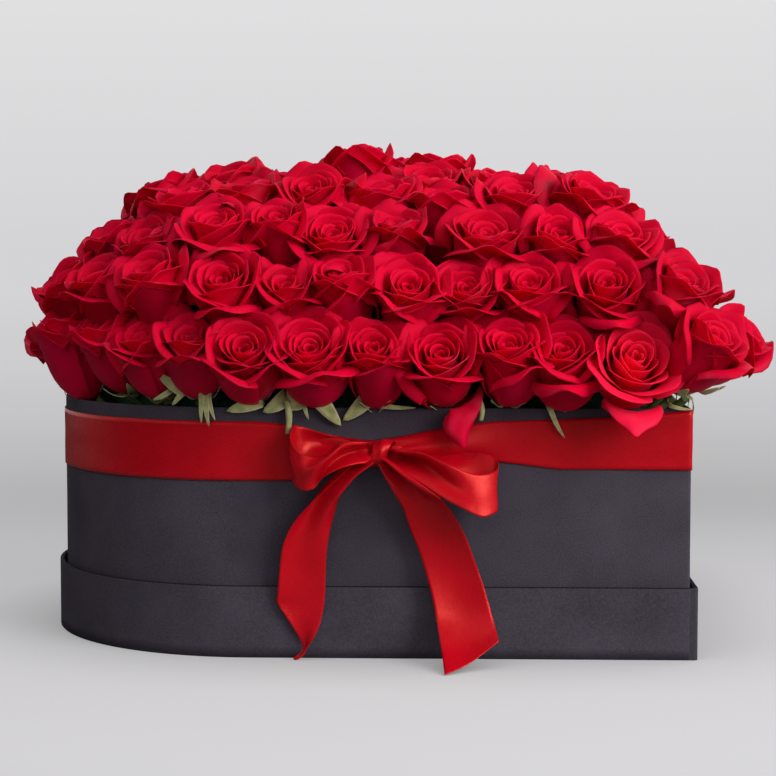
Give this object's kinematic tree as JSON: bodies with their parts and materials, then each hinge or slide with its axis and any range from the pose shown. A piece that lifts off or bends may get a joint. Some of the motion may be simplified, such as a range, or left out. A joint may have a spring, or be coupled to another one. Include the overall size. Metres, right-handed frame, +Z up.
{
  "type": "flower box",
  "caption": "Heart-shaped paper-wrapped box standing in its upturned lid, tied with a satin ribbon bow, holding a packed dome of red cut roses in floral foam.",
  "frame": {"origin": "on the underside of the upturned lid, at the middle of the heart's bounding square", "axes": "+Z up; -Y is the straight side that carries the bow; +X towards the heart's point, which stands at +X, -Y"},
  "size_m": [0.5009, 0.5221, 0.332],
  "materials": {
    "grey_board": "uncoated grey board",
    "black_paper": "matt charcoal-black covering paper with a fine grain",
    "satin_ribbon": "deep red satin with a soft lengthwise sheen",
    "clear_film": "clear waterproof film",
    "floral_foam": "dark green open-cell foam",
    "rose_petal": "velvety deep red petals, brighter on the inner faces",
    "rose_green": "matt pale green sepals and stems"
  },
  "bodies": {
    "lid": {"lid_panel": "grey_board", "lid_rim": "grey_board", "lid_wrap": "black_paper"},
    "box": {"bow_knot": "satin_ribbon", "bow_loop_left": "satin_ribbon", "bow_loop_right": "satin_ribbon", "bow_tail_left": "satin_ribbon", "bow_tail_right": "satin_ribbon", "box_base": "grey_board", "box_lining": "black_paper", "box_wall": "grey_board", "box_wrap": "black_paper", "ribbon_band": "satin_ribbon"},
    "arrangement": {"film_liner": "clear_film", "foam_bricks_lower": "floral_foam", "foam_bricks_upper": "floral_foam", "foam_step_lower": "floral_foam", "foam_step_middle": "floral_foam", "foam_step_top": "floral_foam", "rose_calyxes_crown": "rose_green", "rose_calyxes_infill": "rose_green", "rose_calyxes_row_1": "rose_green", "rose_calyxes_row_2": "rose_green", "rose_calyxes_row_3": "rose_green", "rose_calyxes_row_4": "rose_green", "rose_calyxes_row_5": "rose_green", "rose_heads_crown": "rose_petal", "rose_heads_infill": "rose_petal", "rose_heads_row_1": "rose_petal", "rose_heads_row_2": "rose_petal", "rose_heads_row_3": "rose_petal", "rose_heads_row_4": "rose_petal", "rose_heads_row_5": "rose_petal", "rose_stems_crown": "rose_green", "rose_stems_infill": "rose_green", "rose_stems_row_1": "rose_green", "rose_stems_row_2": "rose_green", "rose_stems_row_3": "rose_green", "rose_stems_row_4": "rose_green", "rose_stems_row_5": "rose_green"}
  },
  "joints": [
    {"name": "box_lift", "type": "slide", "parent": "lid", "child": "box", "axis": [0, 0, 1], "range_m": [0, 0.06]},
    {"name": "arrangement_lift", "type": "slide", "parent": "box", "child": "arrangement", "axis": [0, 0, 1], "range_m": [0, 0.17]}
  ]
}
